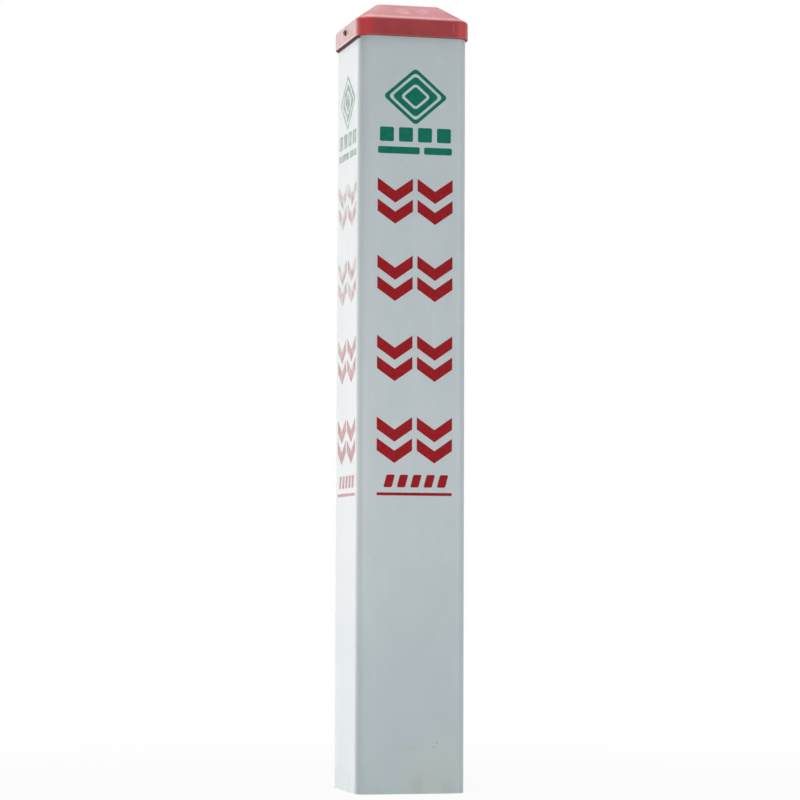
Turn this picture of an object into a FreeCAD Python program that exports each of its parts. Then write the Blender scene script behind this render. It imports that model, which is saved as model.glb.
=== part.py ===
import FreeCAD, Part
import math
import os

import Sketcher

# Utility marker post: a chambered plastic extrusion under a moulded cap that two screws hold.
# Millimetres, +Z up, front towards -Y, origin at the middle of the post's foot.

# Driving dimensions: name, value and what it is
SIZES = (
    ("section_width", 150.0, "outside width of the square post"),
    ("post_length", 1040.0, "cut length of the post"),
    ("corner_radius", 16.0, "outside radius of the post's long corners"),
    ("post_wall", 4.0, "outer wall of the extrusion"),
    ("web_thickness", 3.0, "crossed webs inside the extrusion"),
    ("root_fillet", 6.0, "radius where the webs meet the walls and each other"),
    ("cap_clearance", 0.4, "gap between cap and post on each side"),
    ("cap_wall", 3.2, "wall of the moulded cap"),
    ("cap_insertion", 21.0, "length of post inside the cap"),
    ("skirt_height", 24.0, "upright side of the cap"),
    ("roof_rise", 24.5, "height of the cap's sloped faces"),
    ("roof_inset", 34.5, "how far the sloped faces lean in on each side"),
    ("crown_corner", 9.0, "plan radius of the flat top's corners"),
    ("fold_radius", 5.0, "rounding between skirt and slopes"),
    ("crown_radius", 4.0, "rounding between slopes and flat top"),
    ("rim_chamfer", 0.5, "bevel of the cap's lower outer edge"),
    ("gusset_thickness", 2.0, "gussets under the roof that seat on the post's end"),
    ("gusset_foot", 7.0, "how far a gusset reaches in along the post's end"),
    ("gusset_reach", 18.0, "how far a gusset reaches in under the roof"),
    ("gusset_offset", 34.0, "distance of a gusset from the middle of its side"),
    ("screw_height", 15.0, "screw axis above the cap's lower edge"),
    ("screw_hole", 4.8, "diameter of the clearance hole in the skirt"),
    ("head_diameter", 8.0, "pan head of the screw"),
    ("head_height", 3.1, "pan head, from its seat to its top"),
    ("head_side", 1.0, "upright edge of the pan head"),
    ("core_diameter", 3.1, "shank of the screw without its thread"),
    ("screw_bite", 2.4, "how far the screw passes the post's outer wall"),
    ("point_length", 3.0, "conical point of the screw"),
    ("pilot_clearance", 0.05, "gap round the shank in the post"),
    ("recess_span", 4.4, "tip to tip of the cross recess at its mouth"),
    ("recess_wing", 1.1, "width of a wing of the recess at its mouth"),
    ("recess_foot_span", 2.2, "tip to tip of the cross recess at its foot"),
    ("recess_foot_wing", 0.6, "width of a wing of the recess at its foot"),
    ("recess_depth", 1.8, "depth of the cross recess"),
)

# Sizes that follow from the driving ones, as expressions on the sheet
RIM_Z = "(Sizes.post_length - Sizes.cap_insertion)"
FOLD_Z = f"({RIM_Z} + Sizes.skirt_height)"
CROWN_Z = f"({FOLD_Z} + Sizes.roof_rise)"
CAVITY_WIDTH = "(Sizes.section_width + 2 * Sizes.cap_clearance)"
CAVITY_CORNER = "(Sizes.corner_radius + Sizes.cap_clearance)"
CAP_WIDTH = f"({CAVITY_WIDTH} + 2 * Sizes.cap_wall)"
CAP_CORNER = f"({CAVITY_CORNER} + Sizes.cap_wall)"
CROWN_WIDTH = f"({CAP_WIDTH} - 2 * Sizes.roof_inset)"
SCREW_Z = f"({RIM_Z} + Sizes.screw_height)"
SHANK_LENGTH = "(Sizes.cap_wall + Sizes.cap_clearance + Sizes.post_wall + Sizes.screw_bite)"

# Inside the cap, each face is parallel to the outer one. The fold between skirt and roof
# drops by FOLD_DROP for each millimetre of wall.
SLOPE = "(Sizes.roof_rise / Sizes.roof_inset)"
FOLD_DROP = f"(sqrt(1 + {SLOPE}^2) - {SLOPE})"
CEILING_FOLD_Z = f"({FOLD_Z} - Sizes.cap_wall * {FOLD_DROP})"
CEILING_Z = f"({CROWN_Z} - Sizes.cap_wall)"
CEILING_WIDTH = f"({CAVITY_WIDTH} - 2 * ({CEILING_Z} - {CEILING_FOLD_Z}) / {SLOPE})"

# Gussets end in the middle of the cap's wall, so that they are one moulding with it
MID_WALL_X = f"({CAVITY_WIDTH} / 2 + Sizes.cap_wall / 2)"
MID_FOLD_Z = f"({FOLD_Z} - Sizes.cap_wall / 2 * {FOLD_DROP})"
GUSSET_FOOT_X = f"({CAVITY_WIDTH} / 2 - Sizes.gusset_foot)"
GUSSET_ROOF_X = f"({CAVITY_WIDTH} / 2 - Sizes.gusset_reach)"
GUSSET_ROOF_Z = f"({MID_FOLD_Z} + ({MID_WALL_X} - {GUSSET_ROOF_X}) * {SLOPE})"

# Numbers by which sketches know a curve's points and their own two axes
START, END, CENTRE = range(1, 4)
H_AXIS, V_AXIS = range(-1, -3, -1)
ORIGIN = (H_AXIS, START)
QUARTER_TURN = math.pi / 2
SAME = 1e-6

doc = FreeCAD.newDocument("MarkerPost")
sheet = doc.addObject("Spreadsheet::Sheet", "Sizes")
for row, (alias, value, meaning) in enumerate(SIZES, start=1):
    sheet.set(f"A{row}", alias)
    sheet.set(f"B{row}", str(value))
    sheet.setAlias(f"B{row}", alias)
    sheet.set(f"C{row}", meaning)
doc.recompute()


def amount(thing, expression):
    """Number that an expression on the sheet gives now."""
    return float(thing.evalExpression(expression))


def drive(thing, **expressions):
    """Bind properties to the sheet."""
    for name, expression in expressions.items():
        thing.setExpression(name, expression)


def origin_part(body, role):
    """Origin plane or axis of a body, found by its role."""
    return next(item for item in body.Origin.OriginFeatures if item.Role == role)


def new_body(name, label):
    body = doc.addObject("PartDesign::Body", name)
    body.Label = label
    return body


def new_sketch(body, name, role, offset=None):
    """Sketch on one of the body's origin planes, moved along the plane's normal."""
    sketch = body.newObject("Sketcher::SketchObject", name)
    sketch.AttachmentSupport = [(origin_part(body, role), "")]
    sketch.MapMode = "FlatFace"
    if offset is not None:
        sketch.setExpression(".AttachmentOffset.Base.z", offset)
    return sketch


def new_feature(body, kind, name, profile, **expressions):
    """Feature of a body that works on a sketch, with its driven sizes."""
    feature = body.newObject(f"PartDesign::{kind}", name)
    feature.Profile = profile
    drive(feature, **expressions)
    return feature


def constrain(sketch, kind, *places):
    return sketch.addConstraint(Sketcher.Constraint(kind, *places))


def dimension(sketch, name, expression, kind, *places):
    """Driven dimension of a sketch: its kind and the places that it measures."""
    index = constrain(sketch, kind, *places, amount(sketch, expression))
    sketch.renameConstraint(index, name)
    sketch.setExpression(f"Constraints.{name}", expression)


def place_point(sketch, name, point, x, y):
    """Hold a point of a sketch at a place given by two expressions."""
    for axis, kind, expression in ((V_AXIS, "DistanceX", x), (H_AXIS, "DistanceY", y)):
        if expression == "0":
            constrain(sketch, "PointOnObject", *point, axis)
        else:
            dimension(sketch, f"{name}_{kind[-1]}", expression, kind, *ORIGIN, *point)


def draw_rounded_box(sketch, low, high, corners):
    """Outline of four lines and four tangent arcs, square to the sketch's axes.

    low and high are where the sides lie, the same along both axes. corners are the radii at
    the lower left, lower right, upper right and upper left.
    """
    near, far, *radii = (amount(sketch, text) for text in (low, high, *corners))
    places = ((near, near), (far, near), (far, far), (near, far))
    inwards = ((1, 1), (-1, 1), (-1, -1), (1, -1))
    centres = []
    for (x, y), (inward_x, inward_y), radius in zip(places, inwards, radii):
        centres.append(FreeCAD.Vector(x + inward_x * radius, y + inward_y * radius, 0))
    lines = []
    for side, (x, y) in enumerate(((0, -1), (1, 0), (0, 1), (-1, 0))):
        after = (side + 1) % len(centres)
        outward = FreeCAD.Vector(x, y, 0)
        start = centres[side] + outward * radii[side]
        end = centres[after] + outward * radii[after]
        lines.append(sketch.addGeometry(Part.LineSegment(start, end), False))
    for corner, centre in enumerate(centres):
        circle = Part.Circle(centre, FreeCAD.Vector(0, 0, 1), radii[corner])
        turned = math.pi + corner * QUARTER_TURN
        quarter = Part.ArcOfCircle(circle, turned, turned + QUARTER_TURN)
        arc = sketch.addGeometry(quarter, False)
        constrain(sketch, "Tangent", lines[corner - 1], END, arc, START)
        constrain(sketch, "Tangent", arc, END, lines[corner], START)
        dimension(sketch, f"corner_{corner}", corners[corner], "Radius", arc)
    bottom, right, top, left = lines
    constrain(sketch, "Horizontal", bottom)
    constrain(sketch, "Vertical", right)
    constrain(sketch, "Horizontal", top)
    constrain(sketch, "Vertical", left)
    dimension(sketch, "bottom", low, "DistanceY", *ORIGIN, bottom, START)
    dimension(sketch, "right", high, "DistanceX", *ORIGIN, right, START)
    dimension(sketch, "top", high, "DistanceY", *ORIGIN, top, START)
    dimension(sketch, "left", low, "DistanceX", *ORIGIN, left, START)


def centred_square(body, name, height, width, corner):
    """Level sketch of a rounded square about the Z axis."""
    sketch = new_sketch(body, name, "XY_Plane", height)
    draw_rounded_box(sketch, f"-{width} / 2", f"{width} / 2", [corner] * 4)
    return sketch


def draw_chain(sketch, points):
    """Straight lines from point to point; each point is a pair of expressions."""
    spots = [FreeCAD.Vector(amount(sketch, x), amount(sketch, y), 0) for x, y in points]
    lines = []
    for start, end in zip(spots, spots[1:]):
        lines.append(sketch.addGeometry(Part.LineSegment(start, end), False))
    for before, after in zip(lines, lines[1:]):
        constrain(sketch, "Coincident", before, END, after, START)
    for index, line in enumerate(lines):
        place_point(sketch, f"point_{index}", (line, START), *points[index])
    return lines


def draw_closed_chain(sketch, points):
    lines = draw_chain(sketch, [*points, points[0]])
    constrain(sketch, "Coincident", lines[-1], END, lines[0], START)


def draw_centred_box(sketch, width, height):
    """Rectangle about the sketch's origin."""
    left, right = f"-{width} / 2", f"{width} / 2"
    bottom, top = f"-{height} / 2", f"{height} / 2"
    draw_closed_chain(sketch, [(left, bottom), (right, bottom), (right, top), (left, top)])


def polar(body, name, original, count, angle=360):
    """Copies of a feature about the Z axis."""
    pattern = body.newObject("PartDesign::PolarPattern", name)
    pattern.Axis = (origin_part(body, "Z_Axis"), [""])
    pattern.Angle = angle
    pattern.Occurrences = count
    pattern.Originals = [original]
    body.Tip = pattern
    return pattern


def mirror_sideways(body, name, original):
    """Copy of a feature on the other side of the YZ plane."""
    mirrored = body.newObject("PartDesign::Mirrored", name)
    mirrored.MirrorPlane = (origin_part(body, "YZ_Plane"), [""])
    mirrored.Originals = [original]
    body.Tip = mirrored
    return mirrored


def drill_sideways(body, name, face_x, diameter, depth, pointed):
    """Round hole along X into both sides of a body, at the height of the screws."""
    sketch = new_sketch(body, f"{name}Centre", "YZ_Plane", face_x)
    centre = FreeCAD.Vector(0, amount(sketch, SCREW_Z), 0)
    radius = amount(sketch, diameter) / 2
    circle = Part.Circle(centre, FreeCAD.Vector(0, 0, 1), radius)
    mark = sketch.addGeometry(circle, False)
    place_point(sketch, "centre", (mark, CENTRE), "0", SCREW_Z)
    dimension(sketch, "width", diameter, "Diameter", mark)
    doc.recompute()
    hole = new_feature(body, "Hole", name, sketch)
    hole.ThreadType = "None"
    hole.HoleCutType = "None"
    hole.DepthType = "Dimension"
    hole.DrillPoint = "Angled" if pointed else "Flat"
    drive(hole, Diameter=diameter, Depth=depth)
    return mirror_sideways(body, f"{name}Pair", hole)


def ease_level_edges(body, kind, name, base, height, **sizes):
    """Fillet or chamfer on all edges of a feature that lie level at a height."""
    doc.recompute()
    level = amount(base, height)
    edges = []
    for index, edge in enumerate(base.Shape.Edges, start=1):
        box = edge.BoundBox
        if abs(box.ZMin - level) < SAME and abs(box.ZMax - level) < SAME:
            edges.append(f"Edge{index}")
    eased = body.newObject(f"PartDesign::{kind}", name)
    eased.Base = (base, edges)
    drive(eased, **sizes)
    return eased


def corner_waste(body, name, height, width, corner):
    """Level outline of what comes off a square's corner to round it, with some to spare."""
    sketch = new_sketch(body, name, "XY_Plane", height)
    side = f"({width} / 2)"
    middle = f"({side} - {corner})"
    spare = f"({side} + {corner})"
    lines = draw_chain(
        sketch,
        [(middle, side), (middle, spare), (spare, spare), (spare, middle), (side, middle)],
    )
    place_point(sketch, "end", (lines[-1], END), side, middle)
    centre = FreeCAD.Vector(amount(sketch, middle), amount(sketch, middle), 0)
    circle = Part.Circle(centre, FreeCAD.Vector(0, 0, 1), amount(sketch, corner))
    arc = sketch.addGeometry(Part.ArcOfCircle(circle, 0, QUARTER_TURN), False)
    constrain(sketch, "Coincident", lines[-1], END, arc, START)
    constrain(sketch, "Coincident", arc, END, lines[0], START)
    dimension(sketch, "corner", corner, "Radius", arc)
    return sketch


def make_block(body, heights, widths, corners):
    """Square block with rounded corners, whose four flat slopes lean in to a flat top.

    heights are those of the foot, the fold and the top. widths and corners, the radii of the
    upright and sloped corners, are those at the fold and at the top.
    """
    foot, fold, top = heights
    outline = centred_square(body, "BlockOutline", foot, widths[0], corners[0])
    new_feature(body, "Pad", "Block", outline, Length=f"{fold} - {foot}")
    slopes = body.newObject("PartDesign::AdditiveWedge", "Slopes")
    slopes.AttachmentSupport = [(origin_part(body, "XZ_Plane"), "")]
    slopes.MapMode = "FlatFace"
    drive(slopes, Ymin=fold, Ymax=top)
    for level, width in zip(("", "2"), widths):
        for axis in "XZ":
            slopes.setExpression(f"{axis}{level}min", f"-{width} / 2")
            slopes.setExpression(f"{axis}{level}max", f"{width} / 2")
    at_fold = corner_waste(body, "WasteAtFold", fold, widths[0], corners[0])
    at_top = corner_waste(body, "WasteAtTop", top, widths[1], corners[1])
    waste = new_feature(body, "SubtractiveLoft", "SlopeCorner", at_fold)
    waste.Sections = [at_top]
    waste.Ruled = True
    return polar(body, "SlopeCorners", waste, 4)


def make_post():
    """Square extrusion with rounded corners and four chambers between crossed webs."""
    body = new_body("PostTube", "post_tube")
    outline = centred_square(
        body, "PostOutline", "0", "Sizes.section_width", "Sizes.corner_radius"
    )
    new_feature(body, "Pad", "Extrusion", outline, Length="Sizes.post_length")
    chamber = new_sketch(body, "ChamberOutline", "XY_Plane")
    root = "Sizes.root_fillet"
    outer = "(Sizes.corner_radius - Sizes.post_wall)"
    low = "Sizes.web_thickness / 2"
    high = "(Sizes.section_width / 2 - Sizes.post_wall)"
    draw_rounded_box(chamber, low, high, [root, root, outer, root])
    pocket = new_feature(body, "Pocket", "Chamber", chamber, Length="Sizes.post_length")
    pocket.Reversed = True
    polar(body, "Chambers", pocket, 4)
    drill_sideways(
        body,
        "PilotHole",
        "Sizes.section_width / 2",
        "(Sizes.core_diameter + 2 * Sizes.pilot_clearance)",
        "Sizes.post_wall + Sizes.screw_bite",
        pointed=True,
    )
    return body


def make_cap():
    """Moulded shell: upright skirt, four sloped faces, flat top and gussets inside."""
    inside = new_body("CapInside", "cap_inside")
    make_block(
        inside,
        (RIM_Z, CEILING_FOLD_Z, CEILING_Z),
        (CAVITY_WIDTH, CEILING_WIDTH),
        (CAVITY_CORNER, CAVITY_CORNER),
    )
    body = new_body("TopCap", "top_cap")
    solid = make_block(
        body,
        (RIM_Z, FOLD_Z, CROWN_Z),
        (CAP_WIDTH, CROWN_WIDTH),
        (CAP_CORNER, "Sizes.crown_corner"),
    )
    for kind, name, height, sizes in (
        ("Fillet", "FoldRounding", FOLD_Z, {"Radius": "Sizes.fold_radius"}),
        ("Fillet", "CrownRounding", CROWN_Z, {"Radius": "Sizes.crown_radius"}),
        ("Chamfer", "RimBevel", RIM_Z, {"Size": "Sizes.rim_chamfer"}),
    ):
        solid = ease_level_edges(body, kind, name, solid, height, **sizes)
    hollow = body.newObject("PartDesign::Boolean", "Hollow")
    hollow.Type = "Cut"
    hollow.setObjects([inside])

    web = new_sketch(body, "GussetOutline", "XZ_Plane", "Sizes.gusset_offset")
    draw_closed_chain(
        web,
        [
            (GUSSET_FOOT_X, "Sizes.post_length"),
            (MID_WALL_X, "Sizes.post_length"),
            (MID_WALL_X, MID_FOLD_Z),
            (GUSSET_ROOF_X, GUSSET_ROOF_Z),
        ],
    )
    gusset = new_feature(body, "Pad", "Gusset", web, Length="Sizes.gusset_thickness")
    gusset.SideType = "Symmetric"
    gussets = body.newObject("PartDesign::MultiTransform", "Gussets")
    gussets.Originals = [gusset]
    pair = body.newObject("PartDesign::Mirrored", "GussetPair")
    pair.MirrorPlane = (origin_part(body, "XZ_Plane"), [""])
    around = body.newObject("PartDesign::PolarPattern", "GussetsAround")
    around.Axis = (origin_part(body, "Z_Axis"), [""])
    around.Angle = 360
    around.Occurrences = 4
    gussets.Transformations = [pair, around]
    body.Tip = gussets

    drill_sideways(
        body,
        "ScrewHole",
        f"{CAP_WIDTH} / 2",
        "Sizes.screw_hole",
        "Sizes.cap_wall",
        pointed=False,
    )
    return body


def make_screw():
    """Pan-head tapping screw, its seat at its own origin and its point down."""
    body = new_body("Screw", "right_screw")
    outline = new_sketch(body, "ScrewOutline", "XZ_Plane")
    top = "Sizes.head_height"
    head = "Sizes.head_diameter / 2"
    core = "Sizes.core_diameter / 2"
    side = "Sizes.head_side"
    lines = draw_chain(
        outline,
        [
            ("0", top),
            ("0", f"-{SHANK_LENGTH}"),
            (core, f"Sizes.point_length - {SHANK_LENGTH}"),
            (core, "0"),
            (head, "0"),
            (head, side),
        ],
    )
    place_point(outline, "edge", (lines[-1], END), head, side)
    dome_radius = f"(({head})^2 + ({top} - {side})^2) / (2 * ({top} - {side}))"
    radius = amount(outline, dome_radius)
    centre = FreeCAD.Vector(0, amount(outline, top) - radius, 0)
    edge_turn = math.asin((amount(outline, side) - centre.y) / radius)
    circle = Part.Circle(centre, FreeCAD.Vector(0, 0, 1), radius)
    dome = outline.addGeometry(Part.ArcOfCircle(circle, edge_turn, QUARTER_TURN), False)
    constrain(outline, "Coincident", lines[-1], END, dome, START)
    constrain(outline, "Coincident", dome, END, lines[0], START)
    constrain(outline, "PointOnObject", dome, CENTRE, V_AXIS)
    turned = new_feature(body, "Revolution", "Turned", outline)
    turned.ReferenceAxis = (outline, ["V_Axis"])

    mouth = new_sketch(body, "RecessMouth", "XY_Plane", top)
    draw_centred_box(mouth, "Sizes.recess_span", "Sizes.recess_wing")
    foot = new_sketch(body, "RecessFoot", "XY_Plane", f"{top} - Sizes.recess_depth")
    draw_centred_box(foot, "Sizes.recess_foot_span", "Sizes.recess_foot_wing")
    wing = new_feature(body, "SubtractiveLoft", "RecessWing", mouth)
    wing.Sections = [foot]
    wing.Ruled = True
    polar(body, "Recess", wing, 2, angle=90)

    body.Placement = FreeCAD.Placement(
        FreeCAD.Vector(0, 0, 0), FreeCAD.Rotation(FreeCAD.Vector(0, 1, 0), 90)
    )
    body.setExpression(".Placement.Base.x", f"{CAP_WIDTH} / 2")
    body.setExpression(".Placement.Base.z", SCREW_Z)
    return body


def make_screw_pair():
    """The screw and its opposite on the other side of the cap."""
    right = make_screw()
    left = doc.addObject("Part::Mirroring", "OppositeScrew")
    left.Label = "left_screw"
    left.Source = right
    left.Normal = FreeCAD.Vector(1, 0, 0)
    pair = doc.addObject("Part::Compound", "CapScrews")
    pair.Label = "cap_screws"
    pair.Links = [right, left]
    return pair


pieces = [make_post(), make_cap(), make_screw_pair()]
doc.recompute()

for item in doc.Objects:
    if "Invalid" in item.State or "Error" in item.State:
        raise RuntimeError(f"{item.Label} failed: {item.State}")
for piece in pieces:
    if piece.Shape.isNull() or not piece.Shape.isValid():
        raise RuntimeError(f"{piece.Label} has no valid shape")

os.makedirs("parts", exist_ok=True)
for piece in pieces:
    piece.Shape.exportStep(f"parts/{piece.Label}.step")
    box = piece.Shape.BoundBox
    print(piece.Label, len(piece.Shape.Solids), "solids", round(piece.Shape.Volume), "mm3", box)
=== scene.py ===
from contextlib import contextmanager
import math

import bpy
from mathutils import Matrix, Vector


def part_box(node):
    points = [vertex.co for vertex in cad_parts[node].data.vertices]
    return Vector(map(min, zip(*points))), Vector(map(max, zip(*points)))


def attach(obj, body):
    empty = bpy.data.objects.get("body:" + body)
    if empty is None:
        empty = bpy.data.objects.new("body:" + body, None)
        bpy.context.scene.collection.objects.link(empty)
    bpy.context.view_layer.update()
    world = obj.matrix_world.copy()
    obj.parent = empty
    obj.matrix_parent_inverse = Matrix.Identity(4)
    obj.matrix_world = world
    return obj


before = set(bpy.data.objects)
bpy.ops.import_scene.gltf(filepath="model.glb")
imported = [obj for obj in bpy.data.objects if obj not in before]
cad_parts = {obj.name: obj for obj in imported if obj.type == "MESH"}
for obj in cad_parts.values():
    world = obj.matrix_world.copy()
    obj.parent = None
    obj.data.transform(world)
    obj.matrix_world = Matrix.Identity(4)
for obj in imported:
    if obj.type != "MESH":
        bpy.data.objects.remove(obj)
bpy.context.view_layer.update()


def rgb(red, green, blue):
    """Opaque colour in linear light."""
    return (red, green, blue, 1)


# The post and its cap, in metres. The post stands on z = 0. Its four faces are FACE_OUT from
# its axis and its cap's are CAP_OUT. The cap's slopes start at FOLD_Z.
MM = 0.001
FACE_OUT = -Vector(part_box("post_tube")[0]).y
CAP_LOW_Z = Vector(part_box("top_cap")[0]).z
CAP_OUT = FACE_OUT + 3.6 * MM
FOLD_Z = CAP_LOW_Z + 24 * MM

# Finish of the post. A span is where a mask rises from 0 to 1, by height or by distance from
# the axis. A coat is a tone and the most of it that is laid on.
POST_TONES = (rgb(0.735, 0.800, 0.820), rgb(0.785, 0.845, 0.862))
POST_LINES = (rgb(0.70, 0.74, 0.75), 0.22)
# Darker, cooler tone towards the foot.
POST_FOOT_TONE = (rgb(0.58, 0.69, 0.75), 0.5)
POST_STAIN = (rgb(0.74, 0.79, 0.70), 0.4)
POST_GRIME = (rgb(0.48, 0.47, 0.42), 0.35)
POST_SMEAR = (rgb(0.60, 0.64, 0.48), 0.35)
POST_MARKS = rgb(0.30, 0.29, 0.26)
# Painted shadow of the cap's lip: a dark band on the post's left face just under the cap.
PAINTED_CAP_SHADOW = (rgb(0.10, 0.016, 0.018), 0.9)
FOOT_TONE_SPAN = (0.0, 0.45)
STAIN_SPAN = (0.02, 0.32)
GRIME_SPAN = (0.0, 0.05)
PAINTED_CAP_SHADOW_SPAN = (CAP_LOW_Z - 3.8 * MM, CAP_LOW_Z - 2.4 * MM)
PAINTED_CAP_SHADOW_LEFT = (FACE_OUT - 4 * MM, FACE_OUT - 0.2 * MM)
POST_RELIEF = 0.12 * MM

# Middle and reach of each spot. A spot is whole within its core, a share of its reach.
SPOT_CORE = 0.35
SMEAR = ((-10 * MM, -FACE_OUT, 62 * MM), (32 * MM, 10 * MM, 7 * MM))
CHIP_REACH = (2.2 * MM, 2.2 * MM, 2.2 * MM)
CHIP_SHARE = 0.3
SPECK_SHARE = 0.5
CHIPS = (
    (34.7 * MM, -FACE_OUT, 67.2 * MM),
    (30.6 * MM, -FACE_OUT, 61.9 * MM),
    (-71.5 * MM, -71.5 * MM, 852 * MM),
)
# Two rubbed marks on the front skirt, then two pale spots on the front slope that are painted
# reflection.
CAP_RUB_AND_SHEEN_SPOTS = (
    ((53.8 * MM, -CAP_OUT, 1032.5 * MM), (1.6 * MM, 3 * MM, 8 * MM)),
    ((1.9 * MM, -CAP_OUT, 1023.4 * MM), (2 * MM, 3 * MM, 1.6 * MM)),
    ((-12 * MM, -60 * MM, 1056 * MM), (16 * MM, 16 * MM, 9 * MM)),
    ((14 * MM, -58 * MM, 1057 * MM), (13 * MM, 16 * MM, 8 * MM)),
)

# Finish of the cap.
CAP_TONES = (rgb(0.455, 0.032, 0.040), rgb(0.52, 0.044, 0.052))
# Painted light from above: the slopes paler, in patches.
CAP_SLOPE_LIGHT = (rgb(0.66, 0.24, 0.26), 0.30)
# Painted highlight along the fold.
CAP_FOLD_HIGHLIGHT = (rgb(0.86, 0.36, 0.36), 0.45)
# Painted highlight along the lower edge, all round.
CAP_RIM_HIGHLIGHT = (rgb(0.72, 0.34, 0.30), 0.20)
CAP_SCUFFS = (rgb(0.66, 0.30, 0.30), 0.30)
# Pale tone of the rubs and of the painted reflection on the slope.
CAP_RUB_AND_SHEEN_TONE = rgb(0.82, 0.46, 0.44)
# Painted light: brighter red on the vertical corners.
CAP_CORNER_LIGHT = (rgb(0.84, 0.050, 0.055), 0.8)
# Painted sheen: the left side paler and greyer, in patches.
CAP_LEFT_SHEEN = rgb(0.62, 0.47, 0.44)
# Painted highlight along the lower edge of the left side.
CAP_LIP_HIGHLIGHT = (rgb(0.92, 0.60, 0.53), 0.6)
# Painted shade on the underside of the rim.
CAP_UNDERSIDE_SHADE = (rgb(0.10, 0.012, 0.012), 0.9)
SLOPE_SPAN = (FOLD_Z - 2 * MM, FOLD_Z + 2.5 * MM)
PAST_FOLD_SPAN = (FOLD_Z + 2.5 * MM, FOLD_Z + 6 * MM)
UNDERSIDE_SPAN = (CAP_LOW_Z - 0.1 * MM, CAP_LOW_Z + 0.6 * MM)
PAST_RIM_SPAN = (CAP_LOW_Z + 1 * MM, CAP_LOW_Z + 2.5 * MM)
PAST_LIP_SPAN = (CAP_LOW_Z + 2 * MM, CAP_LOW_Z + 3.2 * MM)
CORNER_SPAN = (131 * MM, 146.5 * MM)
# Where the left side's painted sheen and highlight begin.
LEFT_SHEEN_SPAN = (FACE_OUT + 1.4 * MM, FACE_OUT + 3.5 * MM)
CAP_RELIEF = 0.15 * MM

# Finish of the screws and the inks, and how strongly each stuff reflects.
PLASTIC_SPECULAR = 0.5
INK_SPECULAR = 0.18
SCREW_TONES = (rgb(0.045, 0.040, 0.042), rgb(0.16, 0.15, 0.15))
SCREW_RUST = (rgb(0.10, 0.035, 0.018), 0.6)
SCREW_RELIEF = 0.1 * MM
GREEN_TONES = (rgb(0.000, 0.185, 0.120), rgb(0.002, 0.245, 0.165))
RED_TONES = (rgb(0.39, 0.006, 0.012), rgb(0.47, 0.013, 0.022))
INK_PINHOLES = (rgb(0.72, 0.74, 0.74), 0.5)
# Painted sheen: the print on the left face paler.
INK_LEFT_SHEEN = rgb(0.87, 0.87, 0.86)
INK_LEFT_SPAN = (FACE_OUT - 1 * MM, FACE_OUT - 0.5 * MM)
INK_UPPER_SPAN = (0.45, 0.80)

# The print on each face, seen from the front.
INK_THICKNESS = 0.12 * MM
INK_DEPTH = 0.05 * MM
PRINT_SHIFT = 2 * MM
CORNER_SEGMENTS = 4

EMBLEM_Z = 937.5 * MM
EMBLEM_WIDTH = 90 * MM
EMBLEM_HEIGHT = 78 * MM
EMBLEM_CORNER = 5 * MM
EMBLEM_RING = (0 * MM, 4.5 * MM)
EMBLEM_BAND = (8 * MM, 15.5 * MM)
EMBLEM_MIDDLE = 19 * MM
EMBLEM_MIDDLE_CORNER = EMBLEM_CORNER / 2

BLOCK_ROW_Z = 885.5 * MM
BLOCK_SIZE = 19.5 * MM
BLOCK_PITCH = 26.5 * MM
BLOCK_COUNT = 4
BLOCK_CORNER = 2 * MM

BAR_ROW_Z = 864 * MM
BAR_HEIGHT = 9.5 * MM
BAR_SPANS = ((-52 * MM, 6 * MM), (12 * MM, 51 * MM))

ARROW_COLUMNS = (-27.7 * MM, 27.7 * MM)
ARROW_ROWS = (795 * MM, 690.5 * MM, 582.5 * MM, 472.5 * MM)
ARROW_WIDTH = 49 * MM
ARROW_HEIGHT = 62 * MM
ARROW_STROKE = 16.5 * MM
ARROW_DROP = 17 * MM

DASH_ROW_Z = 417.5 * MM
DASH_HEIGHT = 17 * MM
DASH_WIDTH = 11.5 * MM
DASH_LEAN = 4.5 * MM
DASH_PITCH = 18.5 * MM
DASH_COUNT = 5

LINE_Z = 400 * MM
LINE_LENGTH = 104 * MM
LINE_HEIGHT = 4 * MM
LINE_CORNER = LINE_HEIGHT / 3

# The photograph's camera, from the edges of the post in it.
IMAGE_WIDTH = 800
CAMERA_PLACE = Vector((-0.9925, -3.9975, 0.285))
CAMERA_YAW = math.radians(-13.95)
CAMERA_PITCH = math.radians(3.416)
CAMERA_ROLL = math.radians(0.221)
CAMERA_CLIP_END = 100
FOCAL_PIXELS = 3015
SENSOR_WIDTH = 36

# The studio: its world, its floor and its lamps. Lengths are in metres, lamps in watts.
WHITE = rgb(1, 1, 1)
WORLD_TONE = rgb(0.90, 0.98, 1.0)
WORLD_STRENGTH = 0.23
FLOOR_SIZE = 60
FLOOR_TONE = rgb(0.86, 0.86, 0.86)
FLOOR_WHITE_NEAR = 0.94
FLOOR_WHITE_SPAN = (0.25, 1.6)
LAMP_COOL = (0.90, 0.97, 1.0)
LAMP_SKY = (0.96, 0.98, 1.0)
LAMP_WARM = (1.0, 0.94, 0.89)
LAMP_SHEEN = (1.0, 0.975, 0.96)
# Name, place, target, width, height, power, colour, and whether it shows only as gloss.
LAMPS = (
    ("overhead", (-0.1, 0.1, 2.4), (0, 0, 1.05), 2.0, 1.6, 22, LAMP_SKY, False),
    ("front_right", (2.0, -2.1, 0.8), (0, 0, 0.55), 1.4, 1.4, 14, LAMP_COOL, False),
    ("front_left", (-1.9, -1.7, 0.6), (0, 0, 0.55), 0.9, 0.9, 1.5, LAMP_WARM, False),
    ("low_left", (-0.50, -0.68, 0.42), (0, 0, 0.42), 0.42, 0.42, 1.15, LAMP_WARM, False),
    ("back_sheen", (-1.35, 1.75, 0.3), (-0.07, 0, 0.3), 3.0, 3.2, 62, LAMP_SHEEN, True),
)


# Shader maths.

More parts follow.
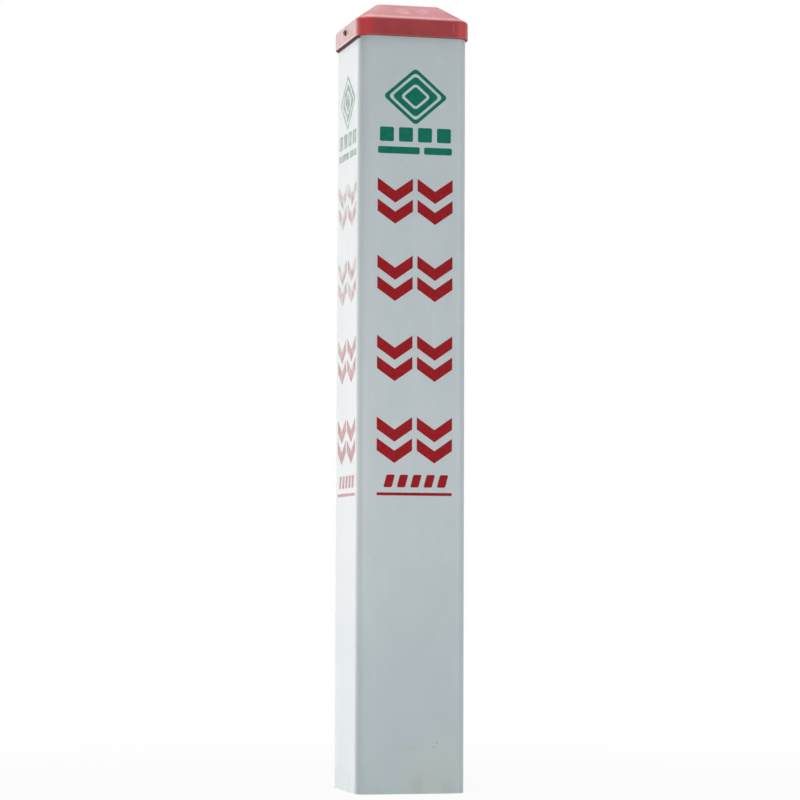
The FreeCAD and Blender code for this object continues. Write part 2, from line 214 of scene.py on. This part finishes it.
class Signal:
    """Output socket of a shader node. Arithmetic on it adds Math nodes."""

    def __init__(self, tree, socket=None):
        self.tree = tree
        self.socket = socket

    def node(self, kind, settings, inputs, output=0):
        """Another node: its settings, then the values or links of its sockets."""
        made = self.tree.nodes.new(f"ShaderNode{kind}")
        for name, value in settings.items():
            setattr(made, name, value)
        for name, value in inputs.items():
            if isinstance(value, Signal):
                self.tree.links.new(value.socket, made.inputs[name])
            else:
                made.inputs[name].default_value = value
        return Signal(self.tree, made.outputs[output])

    def math(self, operation, first, second):
        """Math node on two numbers or signals."""
        return self.node("Math", {"operation": operation}, {0: first, 1: second})

    def __add__(self, other):
        return self.math("ADD", self, other)

    __radd__ = __add__

    def __sub__(self, other):
        return self.math("SUBTRACT", self, other)

    def __rsub__(self, other):
        return self.math("SUBTRACT", other, self)

    def __mul__(self, other):
        return self.math("MULTIPLY", self, other)

    __rmul__ = __mul__

    def step(self, low, high):
        """Smooth rise from 0 at low to 1 at high."""
        return self.node(
            "MapRange",
            {"interpolation_type": "SMOOTHSTEP"},
            {"Value": self, "From Min": low, "From Max": high},
        )

    def vector(self, operation, other):
        """Vector Math of these coordinates and others."""
        return self.node("VectorMath", {"operation": operation}, {0: self, 1: other})

    def length(self):
        """Distance of these coordinates from their origin."""
        return self.node("VectorMath", {"operation": "LENGTH"}, {0: self}, output="Value")

    def axis(self, name):
        """One of these coordinates."""
        return self.node("SeparateXYZ", {}, {"Vector": self}, output=name)

    def stretched(self, scales):
        """Coordinates scaled along each axis."""
        return self.node("Mapping", {}, {"Vector": self, "Scale": scales})

    def noise(self, scale, detail, roughness=0.5):
        """Soft noise from 0 to 1 over these coordinates."""
        return self.node(
            "TexNoise",
            {},
            {"Vector": self, "Scale": scale, "Detail": detail, "Roughness": roughness},
        )

    def spot(self, middle, reach):
        """1 at the middle of a soft oval, 0 outside its reach along each axis."""
        share = self.vector("SUBTRACT", middle).vector("DIVIDE", reach)
        return 1 - share.length().step(SPOT_CORE, 1.0)

    def tint(self, colour, other):
        """Mix of two colours with this as the factor."""
        return self.node(
            "Mix", {"data_type": "RGBA"}, {0: self, 6: colour, 7: other}, output=2
        )

    def coat(self, colour, tone, amount):
        """A colour under a tone, laid on by this mask times an amount."""
        return (self * amount).tint(colour, tone)


def new_material(name):
    """Material, a signal to add its nodes with, and the object's own coordinates."""
    material = bpy.data.materials.new(name)
    material.use_nodes = True
    material.node_tree.nodes.clear()
    tree = Signal(material.node_tree)
    place = tree.node("TexCoord", {}, {}, output="Object")
    return material, tree, place


def to_output(tree, kind, surface):
    """End a node tree in an output of the material or the world."""
    output = tree.tree.nodes.new(f"ShaderNodeOutput{kind}")
    tree.tree.links.new(surface.socket, output.inputs["Surface"])


def finish_surface(tree, inputs):
    """End a material in one Principled surface."""
    to_output(tree, "Material", tree.node("BsdfPrincipled", {}, inputs))


def bump(tree, height, distance):
    """Normal that follows a height from 0 to 1, which stands for a distance in metres."""
    return tree.node("Bump", {}, {"Height": height, "Distance": distance})


# Finishes. A number beside a mask is its weight, and the two in a step are the levels of the
# noise between which it rises.

def post_plastic():
    """White satin extrusion: clouds, lines along its length, marks, dirt at the foot, darker
    and cooler towards the foot, and a painted shadow under the cap's left edge.
    """
    material, tree, place = new_material("white_extrusion")
    height = place.axis("Z")
    clouds = place.stretched((1, 1, 0.5)).noise(26, detail=4, roughness=0.55)
    patches = place.noise(7, detail=2)
    lines = place.stretched((1, 1, 0.004)).noise(900, detail=3)
    grain = place.noise(2400, detail=2)
    specks = place.noise(260, detail=1).step(0.785, 0.81)

    colour = (clouds * 0.7 + patches * 0.3).step(0.3, 0.7).tint(*POST_TONES)
    colour = lines.step(0.5, 0.75).coat(colour, *POST_LINES)
    # Darker and cooler towards the foot.
    colour = (1 - height.step(*FOOT_TONE_SPAN)).coat(colour, *POST_FOOT_TONE)
    stain = patches.step(0.46, 0.66) * (1 - height.step(*STAIN_SPAN))
    colour = stain.coat(colour, *POST_STAIN)
    grime = (1 - height.step(*GRIME_SPAN)) * clouds.step(0.4, 0.75)
    colour = grime.coat(colour, *POST_GRIME)
    smear = place.spot(*SMEAR) * clouds.step(0.30, 0.60)
    colour = smear.coat(colour, *POST_SMEAR)
    marks = specks * SPECK_SHARE
    for middle in CHIPS:
        marks = marks + CHIP_SHARE * place.spot(middle, CHIP_REACH)
    colour = marks.tint(colour, POST_MARKS)
    # Painted shadow: a dark band on the left face just under the cap's lip.
    left = (0 - place.axis("X")).step(*PAINTED_CAP_SHADOW_LEFT)
    painted_cap_shadow = left * height.step(*PAINTED_CAP_SHADOW_SPAN)
    colour = painted_cap_shadow.coat(colour, *PAINTED_CAP_SHADOW)

    relief = grain * 0.4 + lines * 0.6 + clouds * 0.8
    finish_surface(tree, {
        "Base Color": colour,
        "Roughness": 0.30 + clouds * 0.10 + grain * 0.06 + painted_cap_shadow * 0.55,
        "Normal": bump(tree, relief, POST_RELIEF),
        "Specular IOR Level": PLASTIC_SPECULAR,
    })
    return material


def cap_plastic():
    """Red satin moulding, with painted light: paler patchy slopes, painted highlights on the
    fold and along the rim, brighter corners, a paler left side, and painted shade on the
    underside.
    """
    material, tree, place = new_material("red_moulding")
    clouds = place.noise(60, detail=4, roughness=0.6)
    blotches = place.noise(24, detail=3)
    grain = place.noise(2600, detail=2)
    scuffs = place.stretched((1, 1, 2.5)).noise(210, detail=3).step(0.66, 0.74)
    height = place.axis("Z")
    slopes = height.step(*SLOPE_SPAN)
    fold_highlight = slopes * (1 - height.step(*PAST_FOLD_SPAN))
    underside_shade = 1 - height.step(*UNDERSIDE_SPAN)
    rim_highlight = (1 - height.step(*PAST_RIM_SPAN)) * (1 - underside_shade)
    lip_highlight = (1 - height.step(*PAST_LIP_SPAN)) * (1 - underside_shade)
    left = (0 - place.axis("X")).step(*LEFT_SHEEN_SPAN)

    colour = clouds.step(0.3, 0.7).tint(*CAP_TONES)
    # Painted light from above: the slopes paler, in patches.
    colour = (blotches.step(0.42, 0.72) * slopes).coat(colour, *CAP_SLOPE_LIGHT)
    # Painted highlight along the fold.
    colour = fold_highlight.coat(colour, *CAP_FOLD_HIGHLIGHT)
    # Painted highlight along the lower edge, all round.
    colour = rim_highlight.coat(colour, *CAP_RIM_HIGHLIGHT)
    colour = scuffs.coat(colour, *CAP_SCUFFS)
    # Rubbed marks on the skirt, and painted reflection on the slope.
    for middle, reach in CAP_RUB_AND_SHEEN_SPOTS:
        rub_and_sheen = place.spot(middle, reach) * (0.05 + clouds.step(0.35, 0.65) * 0.25)
        colour = rub_and_sheen.tint(colour, CAP_RUB_AND_SHEEN_TONE)
    # Painted light: the corners brighter red. The sum of the distances from both middle planes
    # is largest at the corners.
    spread = place.node("VectorMath", {"operation": "ABSOLUTE"}, {0: place})
    corner_light = (spread.axis("X") + spread.axis("Y")).step(*CORNER_SPAN)
    colour = corner_light.coat(colour, *CAP_CORNER_LIGHT)
    # Painted sheen: the left side paler and greyer, in patches.
    cap_left_sheen = left * (1 - underside_shade) * (0.22 + blotches.step(0.42, 0.72) * 0.22)
    colour = cap_left_sheen.tint(colour, CAP_LEFT_SHEEN)
    # Painted highlight along the lower edge of the left side.
    colour = (left * lip_highlight).coat(colour, *CAP_LIP_HIGHLIGHT)
    # Painted shade on the underside of the rim.
    colour = underside_shade.coat(colour, *CAP_UNDERSIDE_SHADE)

    finish_surface(tree, {
        "Base Color": colour,
        "Roughness": 0.28 + clouds * 0.12 + scuffs * 0.15 + left * 0.06 + underside_shade * 0.3,
        "Normal": bump(tree, grain * 0.5 + clouds, CAP_RELIEF),
        "Specular IOR Level": PLASTIC_SPECULAR,
    })
    return material


def screw_metal():
    """Dark weathered steel with brighter rubbed spots and some rust."""
    material, tree, place = new_material("weathered_steel")
    spots = place.noise(900, detail=3)
    rust = place.noise(420, detail=4).step(0.52, 0.70)
    colour = spots.step(0.35, 0.7).tint(*SCREW_TONES)
    finish_surface(tree, {
        "Base Color": rust.coat(colour, *SCREW_RUST),
        "Metallic": 0.85 - rust * 0.6,
        "Roughness": 0.38 + spots * 0.2,
        "Normal": bump(tree, spots, SCREW_RELIEF),
    })
    return material


def ink(name, tones, even_sheen, patchy_sheen):
    """Screen-printed ink, thinner in places, with pinholes, and paler on the left face:
    painted sheen.

    The two sheen shares are the extra paleness of the left face's upper half.
    """
    material, tree, place = new_material(name)
    cover = place.noise(160, detail=3)
    pinholes = place.noise(1500, detail=1).step(0.76, 0.80)
    left = (0 - place.axis("X")).step(*INK_LEFT_SPAN)
    patches = place.noise(70, detail=3).step(0.35, 0.65)
    upper = place.axis("Z").step(*INK_UPPER_SPAN)

    colour = cover.step(0.3, 0.75).tint(*tones)
    colour = pinholes.coat(colour, *INK_PINHOLES)
    # Painted sheen: the left face's print paler, most of all in its upper half.
    ink_left_sheen = 0.08 + 0.12 * patches + upper * (even_sheen + patchy_sheen * patches)
    colour = (left * ink_left_sheen).tint(colour, INK_LEFT_SHEEN)

    finish_surface(tree, {
        "Base Color": colour,
        "Roughness": 0.34 + cover * 0.12,
        "Specular IOR Level": INK_SPECULAR,
    })
    return material


# Modelling helpers.

def pick(*shapes):
    """Select these shapes alone and make the first one active."""
    bpy.ops.object.select_all(action="DESELECT")
    for shape in shapes:
        shape.select_set(True)
    bpy.context.view_layer.objects.active = shapes[0]


def apply_transform():
    """Put the selected shapes' move, turn and scale into their meshes."""
    bpy.ops.object.transform_apply(location=True, rotation=True, scale=True)


@contextmanager
def editing():
    """Edit mode for the active shape, with all of it selected."""
    bpy.ops.object.mode_set(mode="EDIT")
    bpy.ops.mesh.select_all(action="SELECT")
    yield
    bpy.ops.object.mode_set(mode="OBJECT")


def select_vertices(shape, test):
    """In edit mode, select the vertices whose place passes a test."""
    bpy.ops.mesh.select_mode(type="VERT")
    bpy.ops.mesh.select_all(action="DESELECT")
    bpy.ops.object.mode_set(mode="OBJECT")
    for vertex in shape.data.vertices:
        vertex.select = test(vertex.co)
    bpy.ops.object.mode_set(mode="EDIT")


def upright_plane(name, x, z, width, height):
    """Flat rectangle that faces the front, its middle at x and z."""
    bpy.ops.mesh.primitive_plane_add(
        size=1, location=(x, 0, z), rotation=(math.radians(90), 0, 0)
    )
    shape = bpy.context.object
    shape.name = name
    shape.scale = (width, height, 1)
    apply_transform()
    return shape


def round_corners(radius):
    """Round the corners of the active flat shape."""
    with editing():
        bpy.ops.mesh.bevel(affect="VERTICES", offset=radius, segments=CORNER_SEGMENTS)


def copy_at(shape, offset):
    """Copy of a shape with its own mesh, moved by an offset."""
    pick(shape)
    bpy.ops.object.duplicate()
    bpy.ops.transform.translate(value=offset)
    apply_transform()
    return bpy.context.object


def row_of(shape, count, pitch):
    """A shape and its copies to the right of it, at an even pitch."""
    return [shape, *(copy_at(shape, (pitch * place, 0, 0)) for place in range(1, count))]


def joined(shapes, name):
    """The first of these shapes, with the others joined to it, under a name."""
    pick(*shapes)
    bpy.ops.object.join()
    shapes[0].name = name
    return shapes[0]


# Print.

def lozenge(inset, corner):
    """Outline of the emblem's lozenge, its sides moved in by an inset."""
    half_width, half_height = EMBLEM_WIDTH / 2, EMBLEM_HEIGHT / 2
    side = math.hypot(half_width, half_height)
    bpy.ops.mesh.primitive_circle_add(
        vertices=4,
        radius=1,
        fill_type="NOTHING",
        location=(PRINT_SHIFT, 0, EMBLEM_Z),
        rotation=(math.radians(90), 0, 0),
    )
    shape = bpy.context.object
    shape.scale = (
        half_width - inset * side / half_height,
        half_height - inset * side / half_width,
        1,
    )
    apply_transform()
    round_corners(corner)
    return shape


def emblem():
    """Plain lozenge: a thin ring, a wide band and a solid middle, one inside the other."""
    parts = []
    for outer, inner in (EMBLEM_RING, EMBLEM_BAND):
        outlines = [lozenge(outer, EMBLEM_CORNER), lozenge(inner, EMBLEM_CORNER)]
        parts.append(joined(outlines, "ring"))
        with editing():
            bpy.ops.mesh.bridge_edge_loops()
    middle = lozenge(EMBLEM_MIDDLE, EMBLEM_MIDDLE_CORNER)
    with editing():
        bpy.ops.mesh.edge_face_add()
    return joined([*parts, middle], "emblem")


def green_print():
    """Lozenge over a row of four blocks and a broken bar."""
    shapes = [emblem()]
    first = PRINT_SHIFT - BLOCK_PITCH * (BLOCK_COUNT - 1) / 2
    block = upright_plane("block", first, BLOCK_ROW_Z, BLOCK_SIZE, BLOCK_SIZE)
    round_corners(BLOCK_CORNER)
    shapes += row_of(block, BLOCK_COUNT, BLOCK_PITCH)
    for start, end in BAR_SPANS:
        middle = PRINT_SHIFT + (start + end) / 2
        shapes.append(upright_plane("bar", middle, BAR_ROW_Z, end - start, BAR_HEIGHT))
        round_corners(BLOCK_CORNER)
    return joined(shapes, "print_green_front")


def arrow():
    """Double arrowhead that points down."""
    top_z = ARROW_ROWS[0] + ARROW_HEIGHT / 2 - ARROW_STROKE / 2
    x = PRINT_SHIFT + ARROW_COLUMNS[0]
    near_middle = ARROW_WIDTH / 8
    head = upright_plane("arrow", x, top_z, ARROW_WIDTH, ARROW_STROKE)
    with editing():
        bpy.ops.mesh.subdivide(number_cuts=1)
        select_vertices(head, lambda place: abs(place.x - x) < near_middle)
        bpy.ops.transform.translate(value=(0, 0, -ARROW_DROP))
    second = copy_at(head, (0, 0, ARROW_DROP + ARROW_STROKE - ARROW_HEIGHT))
    return joined([head, second], "arrow")


def red_print():
    """Eight double arrowheads in two columns, over a row of slanted dashes and a thin line."""
    first = arrow()
    shapes = [first]
    for column in ARROW_COLUMNS:
        for row in ARROW_ROWS:
            offset = (column - ARROW_COLUMNS[0], 0, row - ARROW_ROWS[0])
            if any(offset):
                shapes.append(copy_at(first, offset))
    start = PRINT_SHIFT - DASH_PITCH * (DASH_COUNT - 1) / 2
    dash = upright_plane("dash", start, DASH_ROW_Z, DASH_WIDTH, DASH_HEIGHT)
    with editing():
        select_vertices(dash, lambda place: place.z > DASH_ROW_Z)
        bpy.ops.transform.translate(value=(DASH_LEAN, 0, 0))
    round_corners(BLOCK_CORNER)
    shapes += row_of(dash, DASH_COUNT, DASH_PITCH)
    shapes.append(upright_plane("line", PRINT_SHIFT, LINE_Z, LINE_LENGTH, LINE_HEIGHT))
    round_corners(LINE_CORNER)
    return joined(shapes, "print_red_front")


def lay_on_face(shape):
    """Give a flat print its thickness and lay it on the post's front face."""
    pick(shape)
    with editing():
        bpy.ops.mesh.extrude_region_move(
            TRANSFORM_OT_translate={"value": (0, -INK_THICKNESS, 0)}
        )
        bpy.ops.mesh.select_all(action="SELECT")
        bpy.ops.mesh.normals_make_consistent(inside=False)
        bpy.ops.transform.translate(value=(0, INK_DEPTH - FACE_OUT, 0))


def put_on_all_faces(shape, colour, material):
    """The front's print and its three turned copies, one on each face of the post."""
    lay_on_face(shape)
    shape.data.materials.clear()
    shape.data.materials.append(material)
    sides = [shape]
    for turn, side in enumerate(("right", "back", "left"), start=1):
        copy = copy_at(shape, (0, 0, 0))
        copy.name = f"print_{colour}_{side}"
        copy.rotation_euler = (0, 0, math.radians(90 * turn))
        apply_transform()
        sides.append(copy)
    for side in sides:
        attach(side, "root")


# Studio.

def add_camera():
    """Camera at the photograph's place."""
    data = bpy.data.cameras.new("camera")
    camera = bpy.data.objects.new("camera", data)
    bpy.context.scene.collection.objects.link(camera)
    yaw, pitch, roll = CAMERA_YAW, CAMERA_PITCH, CAMERA_ROLL
    forward = Vector(
        (
            -math.sin(yaw) * math.cos(pitch),
            math.cos(yaw) * math.cos(pitch),
            math.sin(pitch),
        )
    )
    level = Vector((math.cos(yaw), math.sin(yaw), 0))
    above = level.cross(forward)
    right = level * math.cos(roll) + above * math.sin(roll)
    up = above * math.cos(roll) - level * math.sin(roll)
    turn = Matrix((right, up, -forward)).transposed()
    camera.matrix_world = Matrix.Translation(CAMERA_PLACE) @ turn.to_4x4()
    data.sensor_width = SENSOR_WIDTH
    data.lens = FOCAL_PIXELS * SENSOR_WIDTH / IMAGE_WIDTH
    data.clip_end = CAMERA_CLIP_END
    bpy.context.scene.camera = camera
    bpy.context.scene.view_settings.view_transform = "Standard"


def seen_directly(tree):
    """1 for rays from the camera, and for those that gloss and glass send out."""
    path = tree.tree.nodes.new("ShaderNodeLightPath")
    camera, gloss, glass = (
        Signal(tree.tree, path.outputs[name])
        for name in ("Is Camera Ray", "Is Glossy Ray", "Is Transmission Ray")
    )
    return (camera + gloss + glass).step(0.0, 1.0)


def add_world():
    """Cool soft light from all around, which looks white where it is seen."""
    world = bpy.data.worlds.new("studio")
    world.use_nodes = True
    world.node_tree.nodes.clear()
    bpy.context.scene.world = world
    tree = Signal(world.node_tree)
    light = tree.node("Background", {}, {"Color": WORLD_TONE, "Strength": WORLD_STRENGTH})
    white = tree.node("Background", {}, {"Color": WHITE, "Strength": 1})
    mixed = tree.node("MixShader", {}, {0: seen_directly(tree), 1: light, 2: white})
    to_output(tree, "World", mixed)


def add_floor():
    """Pale floor that keeps a faint shadow near the post and is white further away."""
    bpy.ops.mesh.primitive_plane_add(size=FLOOR_SIZE, location=(0, 0, 0))
    floor = bpy.context.object
    floor.name = "floor"
    material, tree, place = new_material("pale_floor")
    paper = tree.node("BsdfDiffuse", {}, {"Color": FLOOR_TONE})
    white = tree.node("Emission", {}, {"Color": WHITE, "Strength": 1})
    away = place.length().step(*FLOOR_WHITE_SPAN)
    share = (FLOOR_WHITE_NEAR + (1 - FLOOR_WHITE_NEAR) * away) * seen_directly(tree)
    to_output(tree, "Material", tree.node("MixShader", {}, {0: share, 1: paper, 2: white}))
    floor.data.materials.append(material)
    floor.visible_glossy = False


def add_softbox(name, place, target, width, height, power, colour, gloss_only):
    """Rectangular lamp at a place, facing a target, out of the camera's sight."""
    data = bpy.data.lights.new(name, "AREA")
    data.shape = "RECTANGLE"
    data.size = width
    data.size_y = height
    data.energy = power
    data.color = colour
    lamp = bpy.data.objects.new(name, data)
    bpy.context.scene.collection.objects.link(lamp)
    lamp.location = place
    facing = Vector(target) - Vector(place)
    lamp.rotation_euler = facing.to_track_quat("-Z", "Y").to_euler()
    lamp.visible_camera = False
    lamp.visible_diffuse = not gloss_only


# Build.

for node, finish in (
    ("post_tube", post_plastic),
    ("top_cap", cap_plastic),
    ("cap_screws", screw_metal),
):
    material = finish()
    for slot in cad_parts[node].material_slots:
        slot.material = material

green = ink("green_ink", GREEN_TONES, even_sheen=0.0, patchy_sheen=0.35)
red = ink("red_ink", RED_TONES, even_sheen=0.25, patchy_sheen=0.45)
put_on_all_faces(green_print(), "green", green)
put_on_all_faces(red_print(), "red", red)

add_camera()
add_world()
add_floor()
for lamp in LAMPS:
    add_softbox(*lamp)
